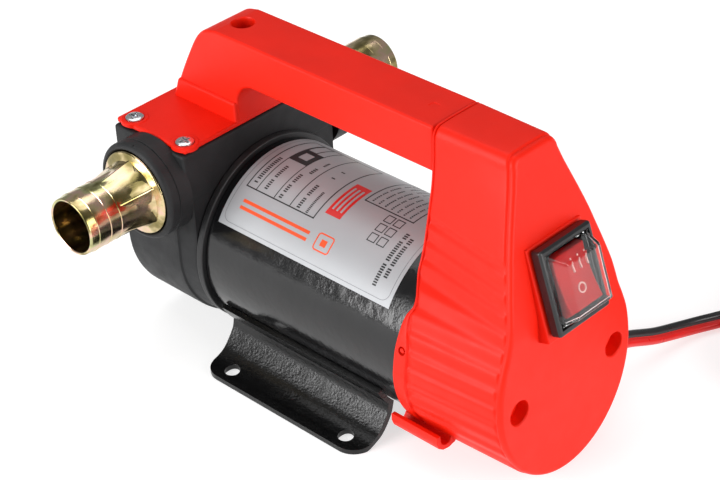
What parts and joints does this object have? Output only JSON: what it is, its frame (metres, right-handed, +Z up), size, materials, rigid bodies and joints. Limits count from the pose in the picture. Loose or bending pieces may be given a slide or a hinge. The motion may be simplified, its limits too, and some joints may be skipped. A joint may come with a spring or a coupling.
{
  "type": "fluid transfer pump",
  "caption": "Small electric vane pump for moving fuel or oil: round motor, side hose tails, carrying handle, rocker switch, two mounting feet and a twin power lead.",
  "frame": {"origin": "middle of the pump's box, without its lead, on the surface that the feet stand on", "axes": "+X along the motor from the pump head to the end cap with the switch, -Y towards the inlet hose tail, +Z up"},
  "size_m": [0.3111, 0.2709, 0.1387],
  "materials": {
    "cast_black": "satin black paint over a cast surface",
    "gloss_black": "glossy black powder coat with fine orange peel",
    "red_plastic": "satin red moulded plastic with a fine grain",
    "yellow_zinc": "yellow-passivated zinc plating, slightly iridescent",
    "zinc": "bright zinc plating",
    "steel": "machined steel",
    "laminations": "stacked electrical steel",
    "copper": "copper",
    "brass": "brass",
    "rubber": "black rubber",
    "carbon": "pressed carbon",
    "ferrite": "sintered ferrite",
    "resin": "brown phenolic board",
    "black_plastic": "glossy black nylon",
    "clear": "clear flexible PVC",
    "lead_skin": "red and black PVC insulation"
  },
  "bodies": {
    "pump": {"brush_plate": "resin", "brush_spring_lower": "steel", "brush_spring_upper": "steel", "bypass_plug": "steel", "bypass_spring": "steel", "cap_screw_inlet_side": "zinc", "cap_screw_outlet_side": "zinc", "cover_screw_1": "zinc", "cover_screw_2": "zinc", "cover_screw_3": "zinc", "cover_screw_4": "zinc", "cover_screw_5": "zinc", "cover_screw_6": "zinc", "cover_seal": "rubber", "end_cap": "red_plastic", "foot_inlet": "gloss_black", "foot_outlet": "gloss_black", "front_bearing": "steel", "front_end_bell": "gloss_black", "handle": "red_plastic", "handle_screw_1": "zinc", "handle_screw_2": "zinc", "handle_screw_3": "zinc", "handle_screw_4": "zinc", "inlet_barb": "yellow_zinc", "inlet_port_seal": "rubber", "inlet_strainer": "steel", "lead_coil": "lead_skin", "lead_grommet": "rubber", "lead_plug": "red_plastic", "lead_tube": "lead_skin", "magnet_inlet_side": "ferrite", "magnet_outlet_side": "ferrite", "motor_tube": "gloss_black", "outlet_barb": "yellow_zinc", "outlet_port_seal": "rubber", "plug_contact_black": "brass", "plug_contact_red": "brass", "pump_body": "cast_black", "pump_cover": "cast_black", "rear_bearing": "steel", "rear_end_bell": "gloss_black", "shaft_seal": "rubber", "switch_cover": "clear", "switch_housing": "black_plastic", "through_bolt_lower": "zinc", "through_bolt_upper": "zinc"},
    "rotor_group": {"rotor": "steel", "vane_1": "carbon", "vane_2": "carbon", "vane_3": "carbon", "vane_4": "carbon", "motor_shaft": "steel", "armature_core": "laminations", "armature_windings": "copper", "commutator": "copper"},
    "rocker": {"switch_rocker": "red_plastic"},
    "poppet": {"bypass_poppet": "steel"},
    "upper_brush": {"brush_upper": "carbon"},
    "lower_brush": {"brush_lower": "carbon"}
  },
  "joints": [
    {"name": "rotor_spin", "type": "hinge", "parent": "pump", "child": "rotor_group", "pos_m": [-0.0299, 0, 0.0443], "axis": [1, 0, 0], "continuous": true},
    {"name": "switch_rocker", "type": "hinge", "parent": "pump", "child": "rocker", "pos_m": [0.09616, 0, 0.08852], "axis": [0, 1, 0], "range_deg": [0, 18]},
    {"name": "bypass_lift", "type": "slide", "parent": "pump", "child": "poppet", "axis": [0, 0, 1], "range_m": [0, 0.0025], "stiffness_N_per_m": 900, "springref_m": -0.002, "deforming": ["bypass_spring"]},
    {"name": "upper_brush_travel", "type": "slide", "parent": "pump", "child": "upper_brush", "axis": [0, 0, 1], "range_m": [0, 0.003], "stiffness_N_per_m": 300, "springref_m": -0.003, "deforming": ["brush_spring_upper"]},
    {"name": "lower_brush_travel", "type": "slide", "parent": "pump", "child": "lower_brush", "axis": [0, 0, -1], "range_m": [0, 0.003], "stiffness_N_per_m": 300, "springref_m": -0.003, "deforming": ["brush_spring_lower"]}
  ]
}
